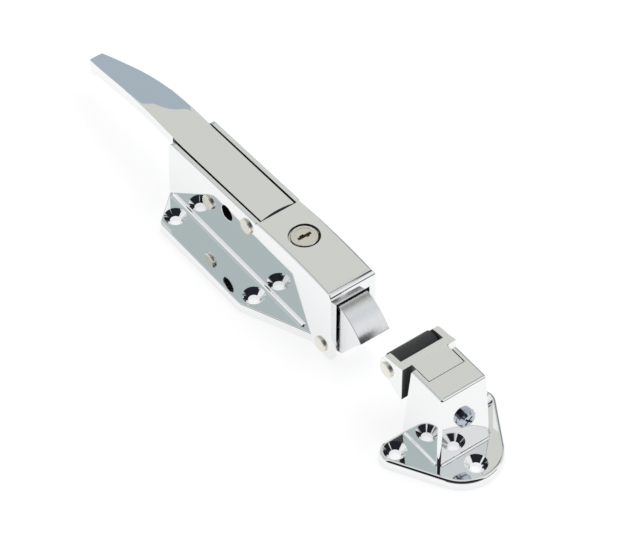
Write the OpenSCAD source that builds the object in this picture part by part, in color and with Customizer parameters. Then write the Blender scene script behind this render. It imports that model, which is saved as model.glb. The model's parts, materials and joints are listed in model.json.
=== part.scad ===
// Walk-in refrigerator door latch with an adjustable roller strike.
// Sizes are in millimetres and degrees.
// The origin is the middle of the latch's four screw holes, on the door's face.
// X runs from the handle toward the strike, and Z stands out from the door.

/* [Housing] */
// Outside width of the housing
body_w = 33; // [32:0.2:35]
// Thickness of the side walls
wall = 3.3; // [3:0.1:3.6]
// Reach of the housing behind the origin
body_back = 58.5; // [57:0.5:61]
// Reach of the housing in front of the origin
body_front = 101.6; // [101:0.2:103]
// Height of the cover at its highest point
body_h = 56.3; // [56:0.1:57.5]
// Radius of the cover's crown, seen from the side
crown_r = 352; // [320:1:420]
// Place of the crown's highest point
crown_x = 70; // [66:1:74]
// Thickness of the cover
cover_t = 4; // [3.5:0.1:4.5]
// Rounding of the long top edges
edge_r = 2.4; // [1.6:0.1:2.8]
// Rounding of the front top edge
front_edge_r = 4; // [2.5:0.1:5]
// Height of the lips at the housing's back
lip_back_h = 49.6; // [49:0.1:50]
// Rounding of the lips at the housing's back
lip_corner_r = 4; // [2:0.5:6]
// Height of the back wall under the handle
back_wall_h = 37; // [30:0.5:39]
// Diameter of the padlock hole
padlock_d = 10.5; // [9:0.1:11]
// Place of the padlock hole along the housing
padlock_x = 0.7; // [-1:0.1:1.5]
// Height of the padlock hole
padlock_z = 38.8; // [38:0.1:39.4]

/* [Screw flange] */
// Thickness of the flange
flange_t = 7; // [6:0.1:8]
// Reach of the flange beside the housing
flange_reach = 20; // [19:0.2:24]
// Distance between the screw holes along the housing
hole_dx = 79; // [76:0.2:80]
// Distance between the screw holes across the housing
hole_dy = 51.2; // [50.6:0.2:52]
// Diameter of the screw holes, latch and strike
hole_d = 7; // [6:0.1:7.4]
// Diameter of the countersinks, latch and strike
csk_d = 14; // [12.5:0.1:14.4]
// Half of the straight part of the flange's outer edge
flange_half = 38; // [37:0.2:41]
// Place where the flange's front slope meets the housing
flange_nose = 84; // [80:0.5:87]
// Rounding of the flange's outer corners
flange_corner_r = 6; // [4:0.2:8]
// Fillet between flange and side wall
fillet_r = 2.6; // [1.5:0.1:3.2]

/* [Pins] */
// Diameter of the pin heads
head_d = 10; // [9.5:0.1:10.6]
// How far the pin heads stand out
head_h = 1.5; // [1:0.1:2]
// Diameter of the handle's pivot pin and of the bolt's pivot pin
pivot_d = 8; // [7.4:0.1:8.4]
// Diameter of the stop pin
stop_d = 6; // [5.4:0.1:6.6]
// Place of the handle's pivot
pivot_x = 20.7; // [20.2:0.1:21.2]
// Height of the handle's pivot
pivot_z = 44.9; // [44.5:0.1:45.2]
// Place of the stop pin
stop_x = -17.4; // [-18.4:0.1:-16.6]
// Height of the stop pin
stop_z = 32.7; // [31.6:0.1:33.6]
// Place of the bolt's pivot
bolt_x = 93.2; // [92.8:0.1:93.8]
// Height of the bolt's pivot
bolt_z = 7; // [6.8:0.1:7.6]

/* [Handle] */
// Width of the handle between the lips
handle_w = 24.2; // [23.6:0.1:24.6]
// Width of the handle at its tip
tip_w = 9.8; // [8:0.1:12]
// Reach of the handle behind the origin
tip_back = 158.3; // [150:0.5:164]
// Thickness of the grip
handle_t = 8.5; // [7.5:0.1:9]
// Height of the grip's top where the arch begins
arch_h = 51.2; // [51:0.1:51.8]
// Radius of the arch
arch_r = 185; // [170:1:200]
// Distance behind the origin where the arch begins
arch_back = 70; // [68:0.5:76]
// Length of the arch along the grip
arch_len = 54.5; // [48:0.5:60]
// Radius of the handle's crowned top, across its width
grip_crown_r = 90; // [70:1:140]
// Depth of the finger catch under the tip
catch_h = 3; // [1.5:0.1:4]
// Radius of the handle's hub
hub_r = 12.1; // [11.8:0.1:12.3]
// Thickness of the padlock web
web_t = 6.4; // [5.6:0.1:6.8]
// Distance from the handle's pivot to the lever pin
lever_r = 49; // [48.6:0.1:49.4]
// Diameter of the lever pin
lever_pin_d = 8; // [7.6:0.1:8.4]
// Thickness of each lever plate
plate_t = 3.2; // [2.6:0.1:3.4]
// Half of the handle's stroke, between rest and the line of the two pivots
half_stroke = 15; // [14.5:0.1:15.5]

/* [Handle spring] */
// Wire of the spring
wire_d = 1.6; // [1.2:0.1:1.7]
// Turns of the spring
turns = 5; // [4:1:5]

/* [Bolt] */
// Width of the bolt's nose
bolt_w = 21; // [20:0.2:22]
// Radius of the bolt's rounded top about its pivot
nose_r = 36.9; // [36.5:0.1:37.2]
// Angle of the nose's tip above the mounting plane, seen from the pivot
nose_deg = 36.4; // [35:0.2:38]
// Width of the bolt's tail
tail_w = 12; // [11.4:0.1:12.4]
// Clearance of the front wall's slot round the nose
slot_gap = 1.4; // [0.8:0.1:1.6]

/* [Lock] */
// Place of the lock along the housing
lock_x = 54.8; // [54.2:0.1:55.2]
// Diameter of the lock in the cover
lock_d = 19; // [18.4:0.1:19.6]
// Diameter of the lock's face, inside its groove
lock_face_d = 16.4; // [15.8:0.1:16.8]
// How far the lock's face lies below the cover
lock_sunk = 0.4; // [0.2:0.1:0.6]
// Diameter of the plug
plug_d = 12.4; // [11.8:0.1:12.6]
// Length of the keyway
key_l = 9.4; // [8.6:0.1:9.8]
// Width of the keyway
key_w = 2; // [1.8:0.1:2.2]
// Reach of the cam from the lock's axis
cam_l = 12.4; // [12:0.1:12.6]

/* [Strike] */
// Place of the strike's box along the latch's line
strike_x = 190.2; // [186:0.2:230]
// Height of the strike
strike_h = 59.2; // [58.8:0.1:60]
// Length of the box at its top
box_l = 27.4; // [27:0.1:28.4]
// Width of the box at its top
box_w = 32.8; // [32.4:0.1:34]
// Slope of the box's sides
box_draft = 3; // [2:0.1:3.4]
// Thickness of the strike's base
base_t = 6.5; // [6:0.1:7.5]
// Rounding of the base's upper edge
base_edge_r = 2.4; // [1.5:0.1:2.8]
// Distance between the two side screw holes
strike_dy = 62; // [61.6:0.2:64]
// Distance from the side holes to the front hole
strike_dx = 35; // [34.6:0.1:36]
// Radius of the base's side lobes
lobe_r = 9.5; // [9:0.1:10.5]
// Radius of the base's front
front_r = 25.5; // [25:0.1:27]

/* [Roller carriage] */
// Diameter of the roller
roller_d = 16; // [15:0.1:16.6]
// Length of the roller
roller_l = 29.6; // [29:0.1:30.2]
// Diameter of the roller's pin
roller_pin_d = 6; // [5.4:0.1:6.6]
// Thickness of the cheeks
cheek_t = 4.2; // [3.8:0.1:4.6]
// Distance from the box's middle to the roller's axis
roller_back = 31.8; // [31.4:0.1:32.6]
// Height of the roller's axis
roller_z = 46.8; // [46.4:0.1:47.2]
// Width of the tongue
tongue_w = 25; // [24.4:0.1:25.4]
// Height of the adjusting screw
screw_z = 36; // [35:0.1:37]
// Diameter of the adjusting screw
screw_d = 6; // [5.6:0.1:6.2]
// Diameter of the adjusting screw's head
screw_head_d = 12; // [11:0.1:12.6]

/* [Hidden] */
$fn = 64;
eps = 0.01;
run_gap = 0.05;
fit_gap = 0.03;
gap = 0.4;
side = body_w / 2;
inner = side - wall;
crown_c = body_h - crown_r;
back_x = -body_back;
pivot_r = pivot_d / 2;
stop_r = stop_d / 2;
head_r = head_d / 2;
spot = 0.3;
cover_gap = 0.45;
cover_cut_r = hub_r + cover_gap;
grip_half = handle_w / 2;

// The handle's top rises from here toward its hub.
rise_x = back_x + 9;
rise_slope = 0.042;
function top_at(x) = arch_h + rise_slope * (x - rise_x);

// The handle is drawn with this much over its crowned top, which is then cut.
crown_stock = 0.5;
arch_deg = asin(arch_len / arch_r);

// The cover begins where its crown meets the clearance round the hub.
cover_x = pivot_x + 7.6;
cover_z = crown_c + sqrt(crown_r * crown_r - pow(cover_x - crown_x, 2));
lip_slope = atan2(cover_z - lip_back_h, cover_x - back_x);
lip_edge_r = edge_r / 2;
front_edge_z = body_h - 1.2 - front_edge_r;

// Front and back of the housing lap by this much on each side of that place.
lap = 0.6;

// Lever and bolt mesh about the line between their two pivots.
pivots = [bolt_x - pivot_x, bolt_z - pivot_z];
rest_deg = atan2(pivots[1], pivots[0]) + half_stroke;
toe_x = pivot_x + lever_r * cos(rest_deg);
toe_z = pivot_z + lever_r * sin(rest_deg);
toe_r = lever_pin_d / 2;
toe_boss = toe_r + 2.2;
fork_bias = 0.5;
fork_deg = atan2(toe_z - bolt_z, toe_x - bolt_x) - fork_bias;
fork_gap = 0.7;
fork_half = toe_r + fork_gap;
plate_in = tail_w / 2 + gap;
plate_out = plate_in + plate_t;
ear_in = 6;

// The lock's pieces stack down from its face.
cover_at_lock = crown_c + sqrt(crown_r * crown_r - pow(lock_x - crown_x, 2));
lock_top = cover_at_lock - lock_sunk;
lock_groove = 1.6;
lock_rim = lock_top - lock_groove;
lock_edge = 0.3;
lock_gap = 0.1;
lock_seat = cover_at_lock - 4;
boss_t = 4;
boss_z = lock_seat - boss_t;
nut_t = 3;
nut_af = 18.6;
barrel_r = 7.9;
barrel_end = boss_z - nut_t - 0.5;
cam_t = 2.2;
cam_top = barrel_end - 0.25;
cam_z = cam_top - cam_t;
cam_screw_r = 2;
cam_screw_head_r = 3.8;
cam_screw_head_h = 1.9;
cam_screw_hold = 2.5;
lever_top = cam_z - cam_screw_head_h - 0.8;
horn_gap = 0.5;
horn_x = lock_x + cam_l + horn_gap;
horn_top = cam_top + 1;
wafer_t = 1;
wafer_n = 4;
wafer_x = 3.2;
wafer_y = 9.6;
key_depth = 8.2;
function wafer_z(i) = lock_top - 2.4 - 1.55 * i;

// The slot in the front wall clears the bolt's nose, and holds its hub sideways.
slot_top = bolt_z + nose_r + slot_gap;
slot_half = bolt_w / 2 + slot_gap;
bolt_hub_r = bolt_z - 0.5;

// Spring legs pass under the stop pin and under the bar between the lever plates.
coil_r = pivot_r + wire_d / 2 + 0.8;
leg_y = ear_in - wire_d / 2 - 0.6;
bar_r = 2.2;
bar_x = pivot_x + 19.3;
bar_z = pivot_z - 8.7;
leg_gap = 0.12;

// The strike is drawn about its box's middle and moved to its place.
tan_d = tan(box_draft);
hole_back_x = -8;
hole_front_x = hole_back_x + strike_dx;
front_cx = hole_front_x - 14;
guide_half = tongue_w / 2 + gap;
tongue_end = -2.5;
recess_end = tongue_end + gap;
roof_t = 5;
shelf_z = 22;
block_z = shelf_z + gap;
block_end = 4.5;
head_back = -18;
cheek_in = roller_l / 2 + 0.3;
cheek_out = cheek_in + cheek_t;
roller_r = roller_d / 2;
roller_pin_r = roller_pin_d / 2;
bridge_x = -24.6;
screw_r = screw_d / 2;
screw_wall_out = box_l / 2 + (strike_h - screw_z) * tan_d;
screw_seat = screw_wall_out - 0.4;
screw_wall_in = screw_seat - 3.6;
clip_t = 1;
clip_gap = 0.1;
groove_x = screw_wall_in - clip_gap - clip_t;

chrome_c = [0.82, 0.83, 0.84];
nickel_c = [0.78, 0.74, 0.68];
steel_c = [0.62, 0.63, 0.65];
brass_c = [0.72, 0.6, 0.35];
black_c = [0.1, 0.1, 0.11];

// Helpers

function dir(a) = [cos(a), sin(a)];

// Outward normal angle of the line that touches two circles on their right-hand side.
function touch_deg(c1, r1, c2, r2) =
  atan2(c2[1] - c1[1], c2[0] - c1[0]) - acos((r1 - r2) / norm(c2 - c1));

// A point of the bolt, measured along its fork from the pivot and across it.
function fork_pt(s, t) = [
  bolt_x + s * cos(fork_deg) + t * sin(fork_deg),
  bolt_z + s * sin(fork_deg) - t * cos(fork_deg)
];

// A side profile, drawn in X and Z, made solid across the latch.
module slab(w) {
  rotate([90, 0, 0])
    linear_extrude(height = w, center = true)
      children();
}

// The same between two places on the negative side.
module slab_at(y0, y1) {
  translate([0, -y0, 0])
    rotate([90, 0, 0])
      linear_extrude(height = y1 - y0)
        children();
}

module both_sides() {
  children();
  mirror([0, 1, 0])
    children();
}

// A round bar across the latch.
module cross_bar(x, z, r, w) {
  translate([x, 0, z])
    rotate([90, 0, 0])
      cylinder(r = r, h = w, center = true);
}

// A section with its two upper corners rounded, w wide, reaching down from the top.
module rounded_section(w, depth, r) {
  translate([-w / 2, -depth])
    square([w, depth - r]);
  translate([-w / 2 + r, -depth])
    square([w - 2 * r, depth]);
  for (s = [-1, 1])
    translate([s * (w / 2 - r), -r])
      circle(r = r);
}

// A countersunk screw hole in a plate of thickness t.
module csk_hole(t) {
  cone_h = (csk_d - hole_d) / 2;
  translate([0, 0, -1])
    cylinder(d = hole_d, h = t + 2);
  translate([0, 0, t - cone_h])
    cylinder(d1 = hole_d, d2 = csk_d, h = cone_h);
  translate([0, 0, t - eps])
    cylinder(d = csk_d, h = 2);
}

// A disc with a rounded upper edge.
module soft_disc(radius, t, r) {
  rotate_extrude() {
    square([radius, t - r]);
    square([radius - r, t]);
    translate([radius - r, t - r])
      intersection() {
        circle(r = r);
        square([r, r]);
      }
  }
}

// Outline of a convex plate with round corners cs of radii rs, drawn in by r.
function plate_outline(cs, rs, r) =
  let (n = len(cs))
  [
    for (i = [0 : n - 1], k = [0, 1])
      let (j = (i + k) % n, m = (i + 1) % n)
      cs[j] + (rs[j] - r) * dir(touch_deg(cs[i], rs[i], cs[m], rs[m]))
  ];

// A convex plate with round corners and a rounded upper edge.
module soft_plate(cs, rs, t, r) {
  n = len(cs);
  outline = plate_outline(cs, rs, r);
  linear_extrude(height = t)
    polygon(outline);
  for (i = [0 : n - 1])
    translate([cs[i][0], cs[i][1], 0])
      soft_disc(rs[i], t, r);
  for (i = [0 : n - 1])
    let (p = outline[2 * i], q = outline[2 * i + 1])
    translate([p[0], p[1], 0])
      rotate([0, 0, atan2(q[1] - p[1], q[0] - p[0]) - 90])
        rotate([-90, 0, 0])
          mirror([0, 1, 0])
            linear_extrude(height = norm(q - p)) {
              translate([-r, 0])
                square([r + eps, t]);
              square([r, t - r]);
              translate([0, t - r])
                intersection() {
                  circle(r = r);
                  square([r, r]);
                }
            }
}

// A pin with a head on each side wall; half is the distance to the walls' outside.
module headed_pin(r, half) {
  rotate([90, 0, 0])
    cylinder(r = r, h = 2 * (half - spot), center = true);
  both_sides()
    translate([0, -(half - spot), 0])
      rotate([90, 0, 0]) {
        cylinder(r = head_r, h = spot + head_h - 0.4);
        translate([0, 0, spot + head_h - 0.4])
          cylinder(r1 = head_r, r2 = head_r - 0.4, h = 0.4);
      }
}

// Room for a headed pin in the two side walls.
module pin_holes(x, z, r, half) {
  cross_bar(x, z, r + fit_gap, 2 * half + 4);
  both_sides()
    translate([x, -half - 2, z])
      rotate([-90, 0, 0])
        cylinder(r = head_r + 0.15, h = 2 + spot);
}

// A round wire of radius r along the points of a path that lies mostly across Y.
module wire(path, r) {
  sides = 10;
  n = len(path);
  rings = [
    for (i = [0 : n - 1])
      let (
        a = path[max(i - 1, 0)],
        b = path[min(i + 1, n - 1)],
        t = (b - a) / norm(b - a),
        u0 = cross([0, 1, 0], t),
        u = u0 / norm(u0),
        v = cross(t, u)
      )
      for (k = [0 : sides - 1])
        path[i] + r * (cos(360 * k / sides) * u + sin(360 * k / sides) * v)
  ];
  skin = [
    for (i = [0 : n - 2], k = [0 : sides - 1])
      let (m = (k + 1) % sides)
      [i * sides + k, i * sides + m, (i + 1) * sides + m, (i + 1) * sides + k]
  ];
  first_cap = [for (k = [0 : sides - 1]) sides - 1 - k];
  last_cap = [for (k = [0 : sides - 1]) (n - 1) * sides + k];
  polyhedron(points = rings, faces = concat([first_cap, last_cap], skin), convexity = 6);
}

// Latch

module housing_front() {
  intersection() {
    translate([crown_x, 0, crown_c])
      rotate([90, 0, 0])
        rotate_extrude($fn = 400)
          intersection() {
            translate([crown_r, 0])
              rotate([0, 0, -90])
                rounded_section(body_w, 90, edge_r);
            translate([0, -body_w])
              square([crown_r + 1, 2 * body_w]);
          }
    slab(body_w + 2)
      union() {
        translate([cover_x - lap, 0])
          square([body_front - cover_x + lap - front_edge_r, body_h + 2]);
        translate([cover_x - lap, 0])
          square([body_front - cover_x + lap, front_edge_z]);
        translate([body_front - front_edge_r, front_edge_z])
          circle(r = front_edge_r);
      }
  }
}

module housing_back() {
  intersection() {
    translate([cover_x, 0, cover_z])
      rotate([0, -lip_slope, 0])
        translate([-200, 0, 0])
          rotate([90, 0, 90])
            linear_extrude(height = 201)
              rounded_section(body_w, 90, lip_edge_r);
    slab(body_w + 2)
      union() {
        translate([back_x + lip_corner_r, 0])
          square([cover_x + lap - back_x - lip_corner_r, body_h + 2]);
        translate([back_x, 0])
          square([lip_corner_r + eps, lip_back_h - lip_corner_r]);
        translate([back_x + lip_corner_r, lip_back_h - lip_corner_r])
          circle(r = lip_corner_r);
      }
  }
}

module flange_plate() {
  // The straight edges lie a hair inside the corners' circles, so that they cross them.
  touch_r = flange_corner_r - 0.02;
  edge_y = side + flange_reach - flange_corner_r;
  root_y = inner + wall / 2;
  corners = [[-flange_half, -edge_y], [flange_half, -edge_y]];
  back = [back_x + 0.5, -side];
  nose = [flange_nose, -side];
  n_back = touch_deg(back, 0, corners[0], touch_r);
  n_nose = touch_deg(corners[1], touch_r, nose, 0);
  both_sides()
    linear_extrude(height = flange_t) {
      polygon([
        [back[0], -root_y],
        back,
        corners[0] + touch_r * dir(n_back),
        corners[0] - [0, touch_r],
        corners[1] - [0, touch_r],
        corners[1] + touch_r * dir(n_nose),
        nose,
        [flange_nose, -root_y]
      ]);
      for (c = corners)
        translate(c)
          circle(r = flange_corner_r);
    }
}

module wall_fillet() {
  both_sides()
    translate([back_x + 4, -side, flange_t])
      rotate([90, 0, 90])
        linear_extrude(height = flange_nose - back_x - 12)
          difference() {
            translate([-fillet_r, -1])
              square([fillet_r + 1, fillet_r + 1]);
            translate([-fillet_r, fillet_r])
              circle(r = fillet_r);
            translate([-fillet_r - 1, -2])
              square([1, 20]);
          }
}

module housing_cavity() {
  slab(2 * inner)
    difference() {
      union() {
        translate([back_x + wall, -1])
          square([cover_x - back_x - wall + 1, body_h + 5]);
        translate([back_x - 1, back_wall_h])
          square([wall + 2, body_h]);
        translate([cover_x, -1])
          square([body_front - cover_x - wall, body_h + 1]);
      }
      difference() {
        intersection() {
          translate([crown_x, crown_c])
            difference() {
              circle(r = crown_r + 5, $fn = 400);
              circle(r = crown_r - cover_t, $fn = 400);
            }
          translate([cover_x, 0])
            square([body_front - cover_x + 2, body_h + 5]);
        }
        translate([pivot_x, pivot_z])
          circle(r = cover_cut_r);
      }
    }
}

module bolt_slot() {
  slab(2 * slot_half)
    translate([body_front - wall - 1, -1])
      square([wall + 2, slot_top + 1]);
}

module latch_housing() {
  color(chrome_c)
    difference() {
      union() {
        difference() {
          union() {
            housing_front();
            housing_back();
            flange_plate();
            wall_fillet();
          }
          housing_cavity();
          bolt_slot();
        }
        translate([lock_x, 0, boss_z])
          cylinder(r = inner - 1, h = crown_r + crown_c - cover_t - boss_z);
      }
      for (sx = [-1, 1], sy = [-1, 1])
        translate([sx * hole_dx / 2, sy * hole_dy / 2, 0])
          csk_hole(flange_t);
      pin_holes(pivot_x, pivot_z, pivot_r, side);
      pin_holes(stop_x, stop_z, stop_r, side);
      pin_holes(bolt_x, bolt_z, pivot_r, side);
      cross_bar(padlock_x, padlock_z, padlock_d / 2, body_w + 4);
      translate([lock_x, 0, lock_seat])
        cylinder(r = lock_d / 2 + lock_gap, h = 20);
      translate([lock_x, 0, boss_z - 1])
        cylinder(r = barrel_r + 0.1, h = 20);
    }
}

// Side profile of the grip and of the part between the lips, with stock on its top.
module grip_profile() {
  mid = [-arch_back, arch_h - arch_r];
  stock_r = arch_r + crown_stock;
  up = dir(90 + arch_deg);
  along = dir(180 + arch_deg);
  top_end = mid + stock_r * up;
  low_end = mid + (arch_r - handle_t) * up;
  run = (tip_back - arch_back - arch_len) / cos(arch_deg);
  intersection() {
    translate(mid)
      difference() {
        circle(r = stock_r, $fn = 400);
        circle(r = arch_r - handle_t, $fn = 400);
      }
    polygon([
      mid,
      mid + 2 * arch_r * up,
      mid + 2 * arch_r * dir(90 + arch_deg / 2),
      mid + 2 * arch_r * dir(90)
    ]);
  }
  polygon([
    top_end,
    top_end + run * along,
    low_end + (run + 0.8) * along - catch_h * up,
    low_end + (run - 2.4) * along - catch_h * up,
    low_end + (run - 8) * along,
    low_end
  ]);
  polygon([
    [-arch_back, arch_h + crown_stock],
    [-arch_back, arch_h - handle_t],
    [rise_x, arch_h - handle_t],
    [pivot_x, arch_h - handle_t + 2.5],
    [pivot_x, top_at(pivot_x) + crown_stock],
    [rise_x, arch_h + crown_stock]
  ]);
}

// What is cut from one side of the grip, seen from above, to draw it in toward the tip.
module grip_side_cut() {
  drop = grip_half - tip_w / 2;
  reach = tip_back - body_back;
  taper_r = (reach * reach + drop * drop) / (2 * drop);
  steps = 14;
  far = grip_half + 20;
  curve = [
    for (i = [0 : steps])
      let (d = (reach + 6) * i / steps)
      [back_x - d, grip_half - taper_r + sqrt(taper_r * taper_r - d * d)]
  ];
  polygon(concat([[back_x + 2, grip_half + 0.05]], curve, [[back_x - reach - 6, far], [back_x + 2, far]]));
}

// Section of what lies over the crowned top, in height and Y, with the crown's middle at the origin.
module over_crown() {
  difference() {
    translate([-3, -grip_half - 1])
      square([11, handle_w + 2]);
    translate([-grip_crown_r, 0])
      circle(r = grip_crown_r, $fn = 720);
  }
}

// A straight length of that section, from the origin along X.
module crown_cut(length) {
  rotate([90, 0, 90])
    linear_extrude(height = length)
      rotate([0, 0, 90])
        over_crown();
}

// What is cut from the handle's top: along arch, tip, flat and rise.
// The tip leaves the arch at a slight angle, so that the two cuts cross cleanly.
module crown_cuts() {
  reach = 100;
  lead = 0.2;
  kink = 0.5;
  translate([-arch_back, 0, arch_h - arch_r])
    rotate([90, 0, 0])
      rotate([0, 0, 90])
        rotate_extrude(angle = arch_deg + kink / 2, $fn = 720)
          translate([arch_r, 0])
            over_crown();
  translate([-arch_back - arch_len, 0, arch_h - arch_r * (1 - cos(arch_deg))])
    rotate([0, -arch_deg - kink, 0])
      translate([-reach, 0, 0])
        crown_cut(reach + 1);
  translate([-arch_back, 0, arch_h])
    crown_cut(arch_back + rise_x);
  translate([rise_x, 0, arch_h])
    rotate([0, -atan(rise_slope), 0])
      translate([-lead, 0, 0])
        crown_cut(reach);
}

module handle_body() {
  difference() {
    union() {
      slab(handle_w)
        grip_profile();
      cross_bar(pivot_x, pivot_z, hub_r, handle_w);
    }
    crown_cuts();
    both_sides()
      translate([0, 0, -10])
        linear_extrude(height = 80)
          grip_side_cut();
  }
}

module lever_profile() {
  foot = [pivot_x + 5, pivot_z - hub_r + 1.2];
  polygon([
    [pivot_x - 4, pivot_z - 6],
    foot,
    [toe_x, toe_z - toe_boss],
    [toe_x, toe_z + toe_boss],
    [lock_x + cam_screw_head_r + 2, lever_top],
    [lock_x - cam_l, lever_top],
    [pivot_x + hub_r - 0.6, pivot_z - 1]
  ]);
  translate([toe_x, toe_z])
    circle(r = toe_boss);
}

module web_profile() {
  rest = stop_z + stop_r + 0.3;
  low = padlock_z - padlock_d / 2 - 2.4;
  roof = arch_h - handle_t + 1;
  polygon([
    [stop_x - 8, roof],
    [stop_x - 8, rest],
    [stop_x + 7, rest],
    [stop_x + 9.5, low],
    [padlock_x + 8.6, low],
    [padlock_x + 11, padlock_z],
    [padlock_x + 11, roof + 1]
  ]);
}

module handle() {
  color(chrome_c)
    difference() {
      union() {
        difference() {
          handle_body();
          cross_bar(pivot_x, pivot_z, coil_r + wire_d / 2 + 0.6, 2 * ear_in);
          slab(2 * ear_in)
            polygon([
              [pivot_x - hub_r - 2, pivot_z - hub_r - 1],
              [pivot_x + hub_r + 4, pivot_z - hub_r - 1],
              [pivot_x + hub_r + 4, pivot_z],
              [pivot_x - hub_r - 2, pivot_z]
            ]);
        }
        both_sides()
          slab_at(plate_in, plate_out)
            lever_profile();
        cross_bar(bar_x, bar_z, bar_r, 2 * plate_in + 1);
        slab(web_t)
          web_profile();
      }
      cross_bar(pivot_x, pivot_z, pivot_r + run_gap, body_w);
      cross_bar(toe_x, toe_z, toe_r + fit_gap, body_w);
      cross_bar(padlock_x, padlock_z, padlock_d / 2 + 0.4, body_w);
    }
}

module handle_pivot_pin() {
  color(nickel_c)
    translate([pivot_x, 0, pivot_z])
      headed_pin(pivot_r, side);
}

module handle_stop_pin() {
  color(nickel_c)
    translate([stop_x, 0, stop_z])
      headed_pin(stop_r, side);
}

module bolt_pivot_pin() {
  color(nickel_c)
    translate([bolt_x, 0, bolt_z])
      headed_pin(pivot_r, side);
}

module handle_spring() {
  stop_c = [stop_x, stop_z];
  hub_c = [pivot_x, pivot_z];
  bar_c = [bar_x, bar_z];
  stop_off = stop_r + wire_d / 2 + leg_gap;
  bar_off = bar_r + wire_d / 2 + leg_gap;
  // The fixed leg lies level under the stop pin and turns up past the padlock hole.
  level = stop_z - stop_off;
  bend = [padlock_x + padlock_d / 2 + 2, level];
  n1 = touch_deg(bend, 0, hub_c, coil_r);
  n2 = touch_deg(hub_c, coil_r, bar_c, bar_off) + 360 * turns;
  before = bend - [2.4, 0];
  after = bend + 2.4 * dir(n1 + 90);
  p2 = bar_c + bar_off * dir(n2) + 4 * dir(n2 + 90);
  steps = 24 * turns;
  path = concat(
    [[stop_x - 5, leg_y, level]],
    [
      for (t = [0 : 0.2 : 1])
        let (p = (1 - t) * (1 - t) * before + 2 * t * (1 - t) * bend + t * t * after)
        [p[0], leg_y, p[1]]
    ],
    [
      for (i = [0 : steps])
        let (a = n1 + (n2 - n1) * i / steps)
        [
          pivot_x + coil_r * cos(a),
          leg_y * (1 - 2 * i / steps),
          pivot_z + coil_r * sin(a)
        ]
    ],
    [[p2[0], -leg_y, p2[1]]]
  );
  color(steel_c)
    wire(path, wire_d / 2);
}

module lever_pin() {
  color(steel_c)
    cross_bar(toe_x, toe_z, toe_r, 2 * plate_out);
}

module bolt_nose_profile() {
  tip = [bolt_x + nose_r * cos(nose_deg), bolt_z + nose_r * sin(nose_deg)];
  bend = tip - [9.3, 10.9];
  heel = tip - [17.8, 24.3];
  out = tip + [3, 3.5];
  intersection() {
    translate([bolt_x, bolt_z])
      circle(r = nose_r, $fn = 96);
    polygon([
      heel,
      bend,
      tip,
      out,
      [out[0], bolt_z + 60],
      [bolt_x + 60 * cos(108), bolt_z + 60 * sin(108)],
      [bolt_x - 5.2, bolt_z - 2.8],
      [bolt_x + 4, bolt_z - 5]
    ]);
  }
  translate([bolt_x, bolt_z])
    circle(r = bolt_hub_r);
}

module bolt_tail_profile() {
  reach = 41;
  flank = (bolt_x + fork_half * sin(fork_deg) - horn_x) / -cos(fork_deg);
  difference() {
    polygon([
      fork_pt(0, -5.6),
      fork_pt(20, -7),
      fork_pt(28, -fork_half - 3.4),
      fork_pt(reach, -fork_half - 3.4),
      fork_pt(reach, 0),
      fork_pt(flank, fork_half),
      [horn_x, horn_top],
      [horn_x + 5, horn_top],
      [bolt_x + (nose_r - 0.6) * cos(107), bolt_z + (nose_r - 0.6) * sin(107)],
      [bolt_x + 3, bolt_z + 20],
      [bolt_x + 3, bolt_z]
    ]);
    polygon([
      fork_pt(27.5, -fork_half),
      fork_pt(70, -fork_half),
      fork_pt(70, fork_half),
      fork_pt(27.5, fork_half)
    ]);
  }
}

module bolt() {
  color(steel_c)
    difference() {
      union() {
        slab(bolt_w)
          bolt_nose_profile();
        slab(tail_w)
          bolt_tail_profile();
        cross_bar(bolt_x, bolt_z, bolt_hub_r, 2 * slot_half - gap);
      }
      cross_bar(bolt_x, bolt_z, pivot_r + run_gap, body_w);
    }
}

// Lock

module lock_barrel() {
  color(nickel_c)
    translate([lock_x, 0, 0])
      difference() {
        union() {
          translate([0, 0, lock_seat])
            cylinder(d = lock_d, h = lock_rim - lock_seat);
          translate([0, 0, lock_rim - eps])
            cylinder(d = lock_face_d, h = lock_groove - lock_edge + eps);
          translate([0, 0, lock_top - lock_edge])
            cylinder(d1 = lock_face_d, d2 = lock_face_d - 2 * lock_edge, h = lock_edge);
          translate([0, 0, barrel_end])
            cylinder(r = barrel_r, h = lock_seat - barrel_end + eps);
        }
        translate([0, 0, barrel_end - 1])
          cylinder(r = plug_d / 2 + run_gap, h = 40);
      }
}

module lock_plug() {
  color(nickel_c)
    translate([lock_x, 0, 0])
      difference() {
        translate([0, 0, cam_top])
          cylinder(r = plug_d / 2, h = lock_top - 0.15 - cam_top);
        translate([-key_w / 2, -key_l / 2, lock_top - key_depth])
          cube([key_w, key_l, key_depth + 1]);
        translate([-key_w / 2 - 0.7, -key_l / 2 + 2, lock_top - key_depth])
          cube([key_w, key_l * 0.3, key_depth + 1]);
        translate([-key_w / 2 + 0.7, key_l / 2 - 4, lock_top - key_depth])
          cube([key_w, key_l * 0.22, key_depth + 1]);
        for (i = [0 : wafer_n - 1])
          translate([-wafer_x / 2 - run_gap, -wafer_y / 2 - run_gap, wafer_z(i) - wafer_t - run_gap])
            cube([wafer_x + 2 * run_gap, wafer_y + 2 * run_gap, wafer_t + 2 * run_gap]);
        translate([0, 0, cam_top - 1])
          cylinder(r = cam_screw_r + fit_gap, h = 1 + cam_screw_hold + 0.1);
      }
}

module lock_wafers() {
  color(brass_c)
    translate([lock_x, 0, 0])
      for (i = [0 : wafer_n - 1])
        translate([0, 0, wafer_z(i) - wafer_t])
          difference() {
            translate([-wafer_x / 2, -wafer_y / 2, 0])
              cube([wafer_x, wafer_y, wafer_t]);
            translate([-key_w / 2, -2.2 + 0.4 * i, -1])
              cube([key_w, 3.6, wafer_t + 2]);
          }
}

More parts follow.
